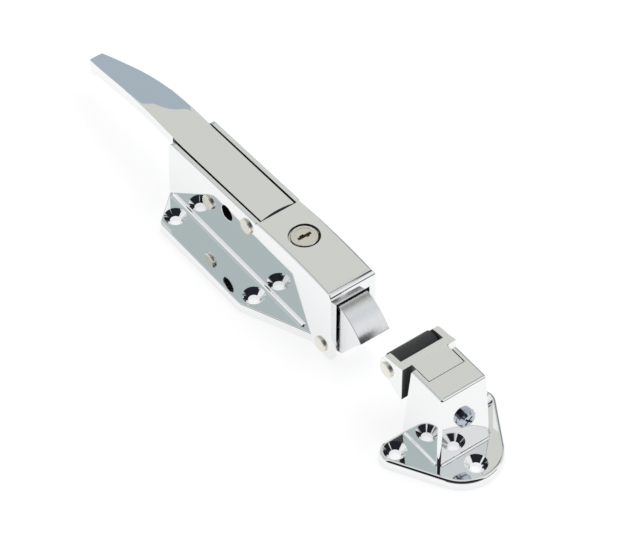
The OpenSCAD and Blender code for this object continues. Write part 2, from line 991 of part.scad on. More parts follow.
module lock_nut() {
  color(nickel_c)
    translate([lock_x, 0, boss_z - nut_t])
      difference() {
        cylinder(r = nut_af / sqrt(3), h = nut_t, $fn = 6);
        translate([0, 0, -1])
          cylinder(r = barrel_r + fit_gap, h = nut_t + 2);
      }
}

module lock_cam() {
  half = 4;
  color(steel_c)
    translate([lock_x, 0, cam_z])
      difference() {
        union() {
          cylinder(r = 6.4, h = cam_t);
          translate([-half, 0, 0])
            cube([2 * half, cam_l - 1, cam_t]);
          translate([-half + 1, cam_l - 1 - eps, 0])
            cube([2 * half - 2, 1 + eps, cam_t]);
        }
        translate([0, 0, -1])
          cylinder(r = cam_screw_r + fit_gap, h = cam_t + 2);
      }
}

module lock_cam_screw() {
  color(steel_c)
    translate([lock_x, 0, 0])
      difference() {
        union() {
          translate([0, 0, cam_z - cam_screw_head_h])
            cylinder(r = cam_screw_head_r, h = cam_screw_head_h);
          translate([0, 0, cam_z - eps])
            cylinder(r = cam_screw_r, h = cam_t + cam_screw_hold + eps);
        }
        translate([-0.6, -cam_screw_head_r - 1, cam_z - cam_screw_head_h - 1])
          cube([1.2, 2 * cam_screw_head_r + 2, 1.8]);
      }
}

// Strike

module strike_base() {
  soft_plate(
    [[hole_back_x, -strike_dy / 2], [front_cx, 0], [hole_back_x, strike_dy / 2]],
    [lobe_r, front_r, lobe_r],
    base_t,
    base_edge_r
  );
}

module box_solid() {
  top_x = box_l / 2;
  top_y = box_w / 2;
  foot = strike_h * tan_d;
  intersection() {
    slab(100)
      polygon([[-top_x - foot, 0], [top_x + foot, 0], [top_x, strike_h], [-top_x, strike_h]]);
    rotate([90, 0, 90])
      linear_extrude(height = 100, center = true)
        polygon([[-top_y - foot, 0], [top_y + foot, 0], [top_y, strike_h], [-top_y, strike_h]]);
  }
}

// Fillet between the box and the base, along one side at distance d.
module foot_fillet(d, length) {
  r = 2;
  translate([d, 0, base_t])
    rotate([90, 0, 0])
      linear_extrude(height = length, center = true)
        difference() {
          translate([-1.5, -1])
            square([r + 1.5, r + 1]);
          translate([r, r])
            circle(r = r);
        }
}

module strike_body() {
  foot = (strike_h - base_t) * tan_d;
  foot_x = box_l / 2 + foot;
  foot_y = box_w / 2 + foot;
  color(chrome_c)
    translate([strike_x, 0, 0])
      difference() {
        union() {
          strike_base();
          box_solid();
          foot_fillet(foot_x - 0.1, 2 * foot_y - 4);
          for (s = [-1, 1])
            rotate([0, 0, 90 * s])
              foot_fillet(foot_y - 0.1, 2 * foot_x - 4);
        }
        // Guide for the carriage, open toward the latch.
        translate([-40, -guide_half, shelf_z])
          cube([40 + screw_wall_in, 2 * guide_half, strike_h - roof_t - shelf_z]);
        // Recess in the roof for the carriage's tongue.
        translate([-40, -guide_half, shelf_z])
          cube([40 + recess_end, 2 * guide_half, 80]);
        // Hollow under the shelf, open at the back of the base.
        translate([-box_l / 2 + 2, -guide_half, -1])
          cube([box_l - 4, 2 * guide_half, shelf_z - 4 + 1]);
        // Way and seat of the adjusting screw.
        translate([0, 0, screw_z])
          rotate([0, 90, 0])
            cylinder(r = screw_r + run_gap, h = 60);
        translate([screw_seat, 0, screw_z])
          rotate([0, 90, 0])
            cylinder(r = screw_head_d / 2 + 0.5, h = 10);
        for (p = [[hole_back_x, -strike_dy / 2], [hole_front_x, 0], [hole_back_x, strike_dy / 2]])
          translate([p[0], p[1], 0])
            csk_hole(base_t);
      }
}

// Outline of a cheek, about the roller's axis.
module cheek_profile() {
  ax = -roller_back;
  az = roller_z;
  boss = roller_r - 0.9;
  polygon([
    [head_back, strike_h - 0.3],
    [bridge_x, strike_h - 1.9],
    [ax, strike_h - 2.6],
    [ax - 2.6, strike_h - 3.4],
    [ax - 5.4, az + 5],
    [ax, az],
    [ax - boss * 0.5, az - boss * 0.866],
    [head_back - 1.5, az - 14.3],
    [head_back, az - 13.4]
  ]);
  translate([ax, az])
    circle(r = boss);
}

module roller_carriage() {
  head_low = roller_z - 13.4;
  color(chrome_c)
    translate([strike_x, 0, 0])
      difference() {
        union() {
          both_sides()
            slab_at(cheek_in, cheek_out)
              cheek_profile();
          slab(2 * cheek_in + 1)
            polygon([
              [head_back, head_low],
              [head_back, strike_h - 0.3],
              [bridge_x, strike_h - 1.9],
              [bridge_x, head_low + 3]
            ]);
          slab(tongue_w)
            polygon([
              [head_back - 2, block_z + 11],
              [head_back - 2, strike_h - 0.6],
              [head_back, strike_h],
              [tongue_end, strike_h],
              [tongue_end, strike_h - roof_t - gap],
              [block_end, strike_h - roof_t - gap],
              [block_end, block_z],
              [head_back + 6, block_z],
              [head_back, block_z + 8]
            ]);
        }
        cross_bar(-roller_back, roller_z, roller_r + 0.5, 2 * cheek_in);
        cross_bar(-roller_back, roller_z, roller_pin_r + fit_gap, 2 * cheek_out + 4);
        translate([head_back + 4, 0, screw_z])
          rotate([0, 90, 0])
            cylinder(r = screw_r + run_gap, h = 40);
      }
}

module roller() {
  soft = 0.8;
  color(black_c)
    translate([strike_x - roller_back, 0, roller_z])
      rotate([90, 0, 0])
        difference() {
          union() {
            cylinder(r = roller_r, h = roller_l - 2 * soft, center = true);
            for (s = [0, 180])
              rotate([s, 0, 0])
                translate([0, 0, roller_l / 2 - soft])
                  cylinder(r1 = roller_r, r2 = roller_r - soft, h = soft);
          }
          cylinder(r = roller_pin_r + run_gap, h = roller_l + 2, center = true);
        }
}

module roller_pin() {
  color(nickel_c)
    translate([strike_x - roller_back, 0, roller_z]) {
      rotate([90, 0, 0])
        cylinder(r = roller_pin_r, h = 2 * cheek_out, center = true);
      both_sides()
        translate([0, -cheek_out, 0])
          rotate([90, 0, 0]) {
            cylinder(r = head_r, h = head_h - 0.4);
            translate([0, 0, head_h - 0.4])
              cylinder(r1 = head_r, r2 = head_r - 0.4, h = 0.4);
          }
    }
}

module adjust_screw() {
  head = 4.2;
  color(chrome_c)
    translate([strike_x, 0, screw_z])
      rotate([0, 90, 0])
        difference() {
          union() {
            translate([0, 0, screw_seat])
              cylinder(r = screw_head_d / 2, h = head - 1.4);
            translate([0, 0, screw_seat + head - 1.4])
              cylinder(r1 = screw_head_d / 2, r2 = screw_head_d / 2 - 1.6, h = 1.4);
            translate([0, 0, head_back + 7])
              cylinder(r = screw_r, h = screw_seat - head_back - 7 + eps);
          }
          for (a = [45, 135])
            rotate([0, 0, a])
              translate([-3.4, -0.65, screw_seat + head - 2.4])
                cube([6.8, 1.3, 5]);
          translate([0, 0, groove_x - 0.05])
            difference() {
              cylinder(r = screw_r + 1, h = clip_t + 0.1);
              translate([0, 0, -1])
                cylinder(r = screw_r - 0.7, h = clip_t + 3);
            }
        }
}

module screw_clip() {
  color(steel_c)
    translate([strike_x + groove_x, 0, screw_z])
      rotate([0, 90, 0])
        difference() {
          cylinder(r = screw_r + 2, h = clip_t);
          translate([0, 0, -1])
            cylinder(r = screw_r - 0.7 + fit_gap, h = clip_t + 2);
          translate([0, -screw_r * 0.55, -1])
            cube([20, screw_r * 1.1, clip_t + 2]);
        }
}

latch_housing();
handle();
handle_pivot_pin();
handle_stop_pin();
handle_spring();
lever_pin();
bolt();
bolt_pivot_pin();
lock_barrel();
lock_plug();
lock_wafers();
lock_nut();
lock_cam();
lock_cam_screw();
strike_body();
roller_carriage();
roller();
roller_pin();
adjust_screw();
screw_clip();
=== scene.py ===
import json
import math

import bmesh
import bpy
from mathutils import Matrix, Vector


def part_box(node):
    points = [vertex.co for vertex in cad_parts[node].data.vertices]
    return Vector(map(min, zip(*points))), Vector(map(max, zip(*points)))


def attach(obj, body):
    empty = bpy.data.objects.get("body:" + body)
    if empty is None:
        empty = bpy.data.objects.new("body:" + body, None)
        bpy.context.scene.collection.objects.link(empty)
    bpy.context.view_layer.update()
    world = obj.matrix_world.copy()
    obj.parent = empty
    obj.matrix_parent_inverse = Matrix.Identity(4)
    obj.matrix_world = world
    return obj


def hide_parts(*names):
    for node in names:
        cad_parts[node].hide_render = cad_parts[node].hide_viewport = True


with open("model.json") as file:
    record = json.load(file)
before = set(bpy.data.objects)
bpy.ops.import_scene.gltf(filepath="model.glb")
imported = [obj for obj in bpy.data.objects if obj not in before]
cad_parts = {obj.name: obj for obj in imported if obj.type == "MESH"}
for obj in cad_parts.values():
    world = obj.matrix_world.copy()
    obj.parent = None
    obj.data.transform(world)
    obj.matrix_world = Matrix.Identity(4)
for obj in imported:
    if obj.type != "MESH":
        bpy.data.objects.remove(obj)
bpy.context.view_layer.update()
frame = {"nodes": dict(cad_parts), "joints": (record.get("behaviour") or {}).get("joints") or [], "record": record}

bl_info = {
    "name": "Walk-in door latch dressing",
    "version": (1, 0, 0),
    "blender": (4, 5, 0),
    "location": "View3D > Sidebar > Latch",
    "description": "Finishes, soft edges and studio for a walk-in door latch and its roller strike",
    "category": "Object",
}

NODES = frame["nodes"]
MM = 0.001
JOINTS = {j["name"]: j for j in frame["joints"]}


def in_mm(vector):
    """A place in millimetres."""
    return Vector(vector) / MM


BOXES = {name: [in_mm(corner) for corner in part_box(name)] for name in NODES}
HANDLE_PIVOT = in_mm(JOINTS["handle_lift"]["pos_m"])
BOLT_PIVOT = in_mm(JOINTS["bolt_swing"]["pos_m"])
PADLOCK_HOLE = next(m for m in frame["record"]["mounts"] if m["name"] == "padlock_hole")


def linear(red, green, blue):
    """A colour as it looks on screen, 0 to 255, in linear values."""
    return tuple(
        c / 255 / 12.92 if c <= 10 else ((c / 255 + 0.055) / 1.055) ** 2.4
        for c in (red, green, blue)
    )


def direction(azimuth, elevation):
    """Unit vector toward an azimuth, from +X toward +Y, and an elevation, in degrees."""
    a, e = math.radians(azimuth), math.radians(elevation)
    return Vector((math.cos(e) * math.cos(a), math.cos(e) * math.sin(a), math.sin(e)))


# Values that a user would change


class LATCH_PG_finish(bpy.types.PropertyGroup):
    """Colours and gloss of the latch's metals and of its roller, and the painted shade of its insides."""

    chrome_tint: bpy.props.FloatVectorProperty(
        name="Chrome",
        description="Reflected colour of the polished chrome plate",
        subtype="COLOR",
        default=(0.9, 0.905, 0.91),
    )
    chrome_roughness: bpy.props.FloatProperty(
        name="Chrome roughness",
        description="Mean roughness of the chrome plate",
        subtype="FACTOR",
        default=0.045,
        min=0.0,
        max=1.0,
    )
    # Near-black dull skin of the castings' insides, gaps and bores: partly the unplated casting, mostly painted
    # shade where little light reaches.
    inside_skin_and_shade_tint: bpy.props.FloatVectorProperty(
        name="Inside of the castings",
        description="Colour of the unpolished inside of the castings",
        subtype="COLOR",
        default=(0.06, 0.062, 0.066),
    )
    nickel_tint: bpy.props.FloatVectorProperty(
        name="Nickel",
        description="Reflected colour of the satin nickel on pins and lock",
        subtype="COLOR",
        default=(0.95, 0.92, 0.84),
    )
    steel_tint: bpy.props.FloatVectorProperty(
        name="Steel",
        description="Reflected colour of the ground steel of bolt and springs",
        subtype="COLOR",
        default=(0.92, 0.93, 0.94),
    )
    # Brass of the lock's wafers, darkened to paint the shade inside the keyway.
    shaded_brass_tint: bpy.props.FloatVectorProperty(
        name="Brass",
        description="Reflected colour of the tarnished wafers in the lock",
        subtype="COLOR",
        default=(0.16, 0.12, 0.06),
    )
    zinc_tint: bpy.props.FloatVectorProperty(
        name="Zinc",
        description="Reflected colour of the blue zinc plate on the adjusting screw",
        subtype="COLOR",
        default=(0.5, 0.56, 0.62),
    )
    # Grey painted shade on the near back of the carriage, where the box shades it, and in the roller's window; the
    # far back stays chrome.
    painted_shade_tint: bpy.props.FloatVectorProperty(
        name="Back of the carriage",
        description="Colour of the unpolished back of the roller's carriage",
        subtype="COLOR",
        default=(0.26, 0.27, 0.28),
    )
    roller_tint: bpy.props.FloatVectorProperty(
        name="Roller",
        description="Colour of the moulded roller",
        subtype="COLOR",
        default=(0.04, 0.041, 0.044),
    )


class LATCH_PG_edges(bpy.types.PropertyGroup):
    """Widths of the softened edges."""

    casting: bpy.props.FloatProperty(
        name="Casting edge",
        description="Softened edge of the polished castings",
        subtype="DISTANCE",
        default=0.35 * MM,
    )
    flange: bpy.props.FloatProperty(
        name="Flange edge",
        description="Rounded upper edge of the screw flanges",
        subtype="DISTANCE",
        default=0.8 * MM,
    )
    grip: bpy.props.FloatProperty(
        name="Grip edge",
        description="Rounded edges of the grip",
        subtype="DISTANCE",
        default=0.5 * MM,
    )
    box: bpy.props.FloatProperty(
        name="Box edge",
        description="Rounded upper and upright edges of the strike's box",
        subtype="DISTANCE",
        default=1.9 * MM,
    )
    nose: bpy.props.FloatProperty(
        name="Nose edge",
        description="Broken side edges of the bolt's nose",
        subtype="DISTANCE",
        default=1.1 * MM,
    )


class LATCH_PG_spring(bpy.types.PropertyGroup):
    """Wire of the handle's torsion spring."""

    wire: bpy.props.FloatProperty(
        name="Wire",
        description="Diameter of the wire",
        subtype="DISTANCE",
        default=1.6 * MM,
    )
    coil: bpy.props.FloatProperty(
        name="Coil radius",
        description="Radius of the coils at the middle of the wire",
        subtype="DISTANCE",
        default=5.6 * MM,
    )
    turns: bpy.props.IntProperty(
        name="Turns",
        description="Whole turns of the coil",
        default=5,
        min=1,
    )


class LATCH_PG_studio(bpy.types.PropertyGroup):
    """Camera and light."""

    azimuth: bpy.props.FloatProperty(
        name="Camera azimuth",
        description="Where the camera stands, from +X toward +Y, in degrees",
        default=-37.25,
    )
    elevation: bpy.props.FloatProperty(
        name="Camera elevation",
        description="How high the camera stands, in degrees",
        default=48.01,
    )
    roll: bpy.props.FloatProperty(
        name="Camera roll",
        description="Turn of the camera about its line of sight, in degrees",
        default=0.35,
    )
    distance: bpy.props.FloatProperty(
        name="Camera distance",
        description="Distance from the camera to its target",
        subtype="DISTANCE",
        default=2.3495,
    )
    target: bpy.props.FloatVectorProperty(
        name="Camera target",
        description="Point in the middle of the picture",
        subtype="TRANSLATION",
        default=(0.0543, 0.0082, 0.02),
    )
    lens: bpy.props.FloatProperty(
        name="Lens",
        description="Focal length in millimetres on a 36 mm wide sensor",
        default=228.57,
    )
    key_power: bpy.props.FloatProperty(
        name="Key light",
        description="Power of the soft light over the latch",
        subtype="POWER",
        default=5.0,
    )


# Node helpers


def new_material(name):
    """An empty node material and its Principled BSDF."""
    material = bpy.data.materials.new(name)
    material.use_nodes = True
    return material, material.node_tree.nodes["Principled BSDF"]


def add_math(tree, operation, *values):
    """A Math node whose inputs are sockets or numbers; gives its output."""
    node = tree.nodes.new("ShaderNodeMath")
    node.operation = operation
    for i, value in enumerate(values):
        if isinstance(value, (int, float)):
            node.inputs[i].default_value = value
        else:
            tree.links.new(value, node.inputs[i])
    return node.outputs["Value"]


def add_mix(tree, factor, first, second):
    """A colour mix whose inputs are sockets or colours; gives its output."""
    node = tree.nodes.new("ShaderNodeMix")
    node.data_type = "RGBA"
    tree.links.new(factor, node.inputs["Factor"])
    for socket, value in ((node.inputs[6], first), (node.inputs[7], second)):
        if isinstance(value, bpy.types.NodeSocket):
            tree.links.new(value, socket)
        else:
            socket.default_value = (*value, 1.0)
    return node.outputs[2]


def new_group(name, inputs, outputs):
    """A shader node group with float sockets, its input node and its output node."""
    group = bpy.data.node_groups.new(name, "ShaderNodeTree")
    for key, value in inputs.items():
        socket = group.interface.new_socket(key, in_out="INPUT", socket_type="NodeSocketFloat")
        socket.default_value = value
    for key in outputs:
        group.interface.new_socket(key, in_out="OUTPUT", socket_type="NodeSocketFloat")
    return group, group.nodes.new("NodeGroupInput"), group.nodes.new("NodeGroupOutput")


def add_group(tree, group, values):
    """Places a shader node group; its inputs are sockets or numbers."""
    node = tree.nodes.new("ShaderNodeGroup")
    node.node_tree = group
    for key, value in values.items():
        if isinstance(value, (int, float)):
            node.inputs[key].default_value = value
        else:
            tree.links.new(value, node.inputs[key])
    return node


def surface_group():
    """Shared group: grain, faint clouds and waves of a worked surface.

    It gives a roughness that changes over the surface and two heights for bump.
    """
    made = bpy.data.node_groups.get("worked_surface")
    if made:
        return made
    group, entry, leave = new_group(
        "worked_surface",
        {
            "Grain Scale": 900.0,
            "Grain Stretch": 1.0,
            "Cloud Scale": 30.0,
            "Wave Scale": 60.0,
            "Roughness Low": 0.03,
            "Roughness High": 0.08,
        },
        ("Roughness", "Grain", "Wave", "Cloud"),
    )
    nodes, links = group.nodes, group.links
    coords = nodes.new("ShaderNodeTexCoord")
    stretch = nodes.new("ShaderNodeCombineXYZ")
    stretch.inputs["X"].default_value = 1.0
    stretch.inputs["Z"].default_value = 1.0
    links.new(entry.outputs["Grain Stretch"], stretch.inputs["Y"])
    scaled = nodes.new("ShaderNodeVectorMath")
    scaled.operation = "MULTIPLY"
    links.new(coords.outputs["Object"], scaled.inputs[0])
    links.new(stretch.outputs["Vector"], scaled.inputs[1])
    noises = {}
    for name, detail, place in (
        ("Grain", 3.0, scaled.outputs["Vector"]),
        ("Cloud", 4.0, coords.outputs["Object"]),
        ("Wave", 1.0, coords.outputs["Object"]),
    ):
        noise = nodes.new("ShaderNodeTexNoise")
        noise.inputs["Detail"].default_value = detail
        links.new(place, noise.inputs["Vector"])
        links.new(entry.outputs[name + " Scale"], noise.inputs["Scale"])
        noises[name] = noise.outputs["Fac"]
        links.new(noises[name], leave.inputs[name])
    both = add_math(group, "MULTIPLY", noises["Grain"], noises["Cloud"])
    spread = nodes.new("ShaderNodeMapRange")
    spread.inputs["From Min"].default_value = 0.12
    spread.inputs["From Max"].default_value = 0.42
    links.new(both, spread.inputs["Value"])
    links.new(entry.outputs["Roughness Low"], spread.inputs["To Min"])
    links.new(entry.outputs["Roughness High"], spread.inputs["To Max"])
    links.new(spread.outputs["Result"], leave.inputs["Roughness"])
    return group


def add_bump(tree, height, depth, before=None):
    """A Bump node of the given depth in metres; gives its normal."""
    node = tree.nodes.new("ShaderNodeBump")
    node.inputs["Distance"].default_value = depth
    tree.links.new(height, node.inputs["Height"])
    if before:
        tree.links.new(before, node.inputs["Normal"])
    return node.outputs["Normal"]


def finish_material(name, tint, metallic, gloss, grain, wave=(60.0, 0.0), stretch=1.0, mottle=0.0):
    """A worked surface.

    gloss is the lowest and highest roughness, grain and wave are each a scale and a
    bump depth in millimetres, and mottle is how far the colour clouds over.
    """
    material, shader = new_material(name)
    tree = material.node_tree
    shader.inputs["Metallic"].default_value = metallic
    surface = add_group(
        tree,
        surface_group(),
        {
            "Grain Scale": grain[0],
            "Grain Stretch": stretch,
            "Wave Scale": wave[0],
            "Roughness Low": gloss[0],
            "Roughness High": gloss[1],
        },
    )
    tree.links.new(surface.outputs["Roughness"], shader.inputs["Roughness"])
    if mottle:
        dark = tuple(c * (1.0 - mottle) for c in tint)
        colour = add_mix(tree, surface.outputs["Cloud"], dark, tint)
        tree.links.new(colour, shader.inputs["Base Color"])
    else:
        shader.inputs["Base Color"].default_value = (*tint, 1.0)
    normal = None
    for output, (_, depth) in (("Wave", wave), ("Grain", grain)):
        if depth:
            normal = add_bump(tree, surface.outputs[output], depth * MM, normal)
    if normal:
        tree.links.new(normal, shader.inputs["Normal"])
    return material


def finishes(values):
    """All the finishes of the latch, by name."""
    low, high = values.chrome_roughness * 0.7, values.chrome_roughness * 1.3
    return {
        "chrome": finish_material(
            "polished_chrome", values.chrome_tint, 1.0, (low, high), (700.0, 0.0), (45.0, 0.012)
        ),
        # Dull skin of the castings' insides, darkened as painted shade.
        "inside": finish_material(
            "casting_skin_and_painted_shade", values.inside_skin_and_shade_tint, 0.7, (0.45, 0.65), (900.0, 0.03), mottle=0.5
        ),
        "nickel": finish_material(
            "satin_nickel", values.nickel_tint, 1.0, (0.36, 0.5), (1500.0, 0.003), mottle=0.12
        ),
        "steel": finish_material(
            "ground_steel",
            values.steel_tint,
            1.0,
            (0.16, 0.3),
            (220.0, 0.004),
            (90.0, 0.004),
            stretch=14.0,
            mottle=0.12,
        ),
        # The wafers' brass is darkened with the painted shade of the keyway.
        "brass": finish_material(
            "brass_painted_shade", values.shaded_brass_tint, 1.0, (0.35, 0.5), (1200.0, 0.004), mottle=0.4
        ),
        "zinc": finish_material(
            "zinc_plate", values.zinc_tint, 1.0, (0.1, 0.2), (900.0, 0.003), mottle=0.15
        ),
        # Painted shade for the carriage's near back and its roller window.
        "shade": finish_material(
            "carriage_back_painted_shade", values.painted_shade_tint, 0.7, (0.4, 0.6), (900.0, 0.02), mottle=0.4
        ),
        "nylon": finish_material(
            "moulded_roller", values.roller_tint, 0.0, (0.42, 0.62), (1400.0, 0.015), mottle=0.2
        ),
    }


def finish(name):
    """One of the latch's finishes, made at its first use."""
    if not FINISHES:
        FINISHES.update(finishes(bpy.context.scene.latch_finish))
    return FINISHES[name]


FINISHES = {}


# Mesh helpers

FLAT = math.radians(0.4)  # faces that turn less count as one
SMOOTH = math.radians(32)  # edges that turn less are shaded smooth
SHARP = math.radians(38)  # edges that turn more can be rounded
FOLDED_AREA = 0.2 * MM**2  # larger folds in a flat face are filled anew
PIN_MARGIN = 0.6  # millimetres round a pin's head that stay as they are


def dress(name, *nodes):
    """Gives CAD nodes a finish."""
    for node in nodes:
        slots = NODES[node].data.materials
        slots.clear()
        slots.append(finish(name))


def add_piece(name, mesh, body, slot, *replaced):
    """Links a mesh as a piece that rides on a body and stands for CAD nodes."""
    piece = bpy.data.objects.new(name, mesh)
    bpy.context.scene.collection.objects.link(piece)
    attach(piece, body)
    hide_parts(*replaced)
    return piece


def off_axis(place, x, z):
    """Distance of a place from a line along Y."""
    return math.hypot(place.x - x, place.z - z)


def clear_of_pins(place, names, margin):
    """Whether a place lies outside the heads of the named pins, seen along Y."""
    for name in names:
        low, high = BOXES[name]
        middle = (low + high) / 2
        if off_axis(place, middle.x, middle.z) < (high.x - low.x) / 2 + margin:
            return False
    return True


def tidy(bm, merge):
    """Joins near points and flat neighbours and takes out slivers."""
    bmesh.ops.remove_doubles(bm, verts=bm.verts, dist=merge)
    bmesh.ops.dissolve_degenerate(bm, dist=merge, edges=bm.edges)
    bmesh.ops.dissolve_limit(bm, angle_limit=FLAT, verts=bm.verts, edges=bm.edges)


def soften(bm, width, chosen):
    """Rounds the chosen ones of the sharp outer edges."""
    edges = []
    for edge in bm.edges:
        if edge.is_convex and edge.calc_face_angle(0.0) > SHARP:
            ends = [in_mm(v.co) for v in edge.verts]
            if chosen((ends[0] + ends[1]) / 2, ends[1] - ends[0]):
                edges.append(edge)
    bmesh.ops.bevel(
        bm,
        geom=edges,
        offset=width,
        offset_type="OFFSET",
        segments=4,
        profile=0.5,
        affect="EDGES",
        clamp_overlap=False,
        loop_slide=False,
        material=-1,
    )


def flat_region(face):
    """A face and all the faces that go on from it without a turn, always in the same order."""
    region, new = {face: True}, [face]
    while new:
        for edge in new.pop().edges:
            if edge.is_manifold and edge.calc_face_angle(1.0) < FLAT:
                for beyond in edge.link_faces:
                    if beyond not in region:
                        region[beyond] = True
                        new.append(beyond)
    return region


def refill(bm):
    """Takes out loose flaps and fills flat places anew where a rounding has crossed a joint."""
    flaps = [face for face in bm.faces if any(edge.is_boundary for edge in face.edges)]
    bmesh.ops.delete(bm, geom=flaps, context="FACES")
    bm.normal_update()
    crossed = []
    for loops in bm.calc_loop_triangles():
        face = loops[0].face
        a, b, c = (loop.vert.co for loop in loops)
        if (b - a).cross(c - a).dot(face.normal) < -2 * FOLDED_AREA:
            crossed.append(face)
    while crossed:
        region = flat_region(crossed[0])
        crossed = [face for face in crossed if face not in region]
        normal = sum((face.normal * face.calc_area() for face in region), Vector()).normalized()
        edges = dict.fromkeys(edge for face in region for edge in face.edges)
        joints = [edge for edge in edges if all(face in region for face in edge.link_faces)]
        outline = [edge for edge in edges if edge not in joints]
        bmesh.ops.delete(bm, geom=list(region), context="FACES_ONLY")
        bmesh.ops.delete(bm, geom=joints, context="EDGES")
        bmesh.ops.triangle_fill(bm, edges=outline, normal=normal, use_beauty=True)


def settle(bm):
    """Puts the faces in one order, because rounding lists them differently in each run."""
    bm.verts.index_update()
    ranked = sorted(bm.faces, key=lambda face: [vert.index for vert in face.verts])
    for rank, face in enumerate(ranked):
        face.index = rank
    bm.faces.sort()


def casting(
    node, name, body, outside, passes, inside=None, merge=0.02, cut_x=None, dull="inside"
):
    """A copy of a CAD node with soft edges, which stands for it.

    Each pass is a width and a test that says which edges it rounds. inside says which
    faces, by their middle and normal, get the dull finish: the casting's own skin,
    darkened as painted shade. Points nearer than merge millimetres become one first,
    and faces are parted at cut_x.
    """
    mesh = NODES[node].data.copy()
    mesh.name = name
    mesh.materials.clear()
    mesh.materials.append(finish(outside))
    mesh.materials.append(finish(dull))
    bm = bmesh.new()
    bm.from_mesh(mesh)
    tidy(bm, merge * MM)
    for width, chosen in passes:
        soften(bm, width, chosen)
    refill(bm)
    if cut_x is not None:
        whole = [*bm.verts, *bm.edges, *bm.faces]
        place = (cut_x * MM, 0.0, 0.0)
        bmesh.ops.bisect_plane(bm, geom=whole, dist=1e-6, plane_co=place, plane_no=(1, 0, 0))
    settle(bm)
    for face in bm.faces:
        face.smooth = True
        within = inside and inside(in_mm(face.calc_center_median()), face.normal)
        face.material_index = 1 if within else 0
    for edge in bm.edges:
        edge.smooth = edge.calc_face_angle(0.0) < SMOOTH
    bm.to_mesh(mesh)
    bm.free()
    piece = add_piece(name, mesh, body, outside, node)
    even = piece.modifiers.new("even_shading", "WEIGHTED_NORMAL")
    even.keep_sharp = True
    return piece


# Pieces


class LATCH_OT_housing(bpy.types.Operator):
    """Polished housing with softened edges and a dark dull inside, partly painted shade in its cavity, gaps and
    padlock bore.
    """

    bl_idname = "latch.housing"
    bl_label = "Housing"

    def execute(self, context):
        edges = context.scene.latch_edges
        low, high = BOXES["latch_housing"]
        cavity_half = BOXES["handle"][1].y + 1.2
        wall_half = cavity_half + 3.2
        flange_top = 7.0
        hole_place = (39.5, 25.6)
        hole_clear = 8.0
        roof_z = 48.0
        mouth_x, brow_z = 97.0, 46.0
        pins = ("handle_pivot_pin", "handle_stop_pin", "bolt_pivot_pin")
        lock = in_mm(PADLOCK_HOLE["pos_m"])
        lock_r = PADLOCK_HOLE["dims"]["r_mm"] + 0.4

        def by_hole(place):
            out = math.hypot(abs(place.x) - hole_place[0], abs(place.y) - hole_place[1])
            return out < hole_clear

        def rim(place, along):
            level = abs(place.z - flange_top) < 0.1 and abs(along.z) < 0.05
            return level and abs(place.y) > wall_half + 0.5 and not by_hole(place)

        def other(place, along):
            free = clear_of_pins(place, pins, PIN_MARGIN) and not by_hole(place)
            return place.z > 0.3 and free and not rim(place, along)

        # Faces in the cavity and in the padlock bore get the dark finish: painted shade where little light
        # reaches.
        def inside(place, normal):
            top = place.z > roof_z and normal.z > 0.2
            front = place.x > high.x - 0.5 or (place.x > mouth_x and place.z > brow_z)
            front = front and normal.x > 0.2
            back = place.x < low.x + 0.4 and normal.x < -0.2
            bore = off_axis(place, lock.x, lock.z) < lock_r and abs(normal.y) < 0.3
            return bore or (abs(place.y) < cavity_half + 0.1 and not (top or front or back))

        passes = [(edges.flange, rim), (edges.casting, other)]
        casting("latch_housing", "housing_casting", "housing", "chrome", passes, inside)
        return {"FINISHED"}


class LATCH_OT_handle(bpy.types.Operator):
    """Polished pull handle with soft edges, dark and dull where it lies between the lips, as painted shade in the
    gap.
    """

    bl_idname = "latch.handle"
    bl_label = "Handle"

    def execute(self, context):
        edges = context.scene.latch_edges
        tip_x = BOXES["handle"][0].x + 8.0
        lips_x = BOXES["latch_housing"][0].x
        dull_x = lips_x - 1.0
        grip_side, hub_side = 4.0, 11.5
        bore_clear = 5.0
        side_low = HANDLE_PIVOT.z - 2.5
        top_low = 49.5

        def across(along):
            return abs(along.y) > 0.7 * along.length

        def grip(place, along):
            outer = abs(place.y) > grip_side
            if place.x > lips_x:
                outer = abs(place.y) > hub_side and place.z > side_low
                outer = outer and off_axis(place, HANDLE_PIVOT.x, HANDLE_PIVOT.z) > bore_clear
            return place.x < tip_x or (outer and not across(along))

        # Faces behind the lips, except the top, get the dark finish: painted shade in the gap.
        def inside(place, normal):
            top = normal.z > 0.3 and place.z > top_low and normal.x < 0.3
            return place.x > dull_x and not top

        casting(
            "handle",
            "handle_casting",
            "handle_lever",
            "chrome",
            [(edges.grip, grip)],
            inside,
            merge=0.06,
            cut_x=dull_x,
        )
        return {"FINISHED"}


class LATCH_OT_bolt(bpy.types.Operator):
    """Ground steel bolt."""

    bl_idname = "latch.bolt"
    bl_label = "Bolt"

    def execute(self, context):
        edges = context.scene.latch_edges
        high = BOXES["bolt"][1]
        nose_r = max(high.x - BOLT_PIVOT.x, high.z - BOLT_PIVOT.z) - 1.2
        hub_margin = 2.5

        def nose(place, along):
            return off_axis(place, BOLT_PIVOT.x, BOLT_PIVOT.z) > nose_r and abs(along.y) < 0.1

        def other(place, along):
            free = clear_of_pins(place, ("bolt_pivot_pin",), hub_margin)
            return free and place.x > BOLT_PIVOT.x and not nose(place, along)

        passes = [(edges.nose, nose), (edges.casting, other)]
        casting("bolt", "bolt_ground", "bolt_arm", "steel", passes, merge=0.06)
        return {"FINISHED"}


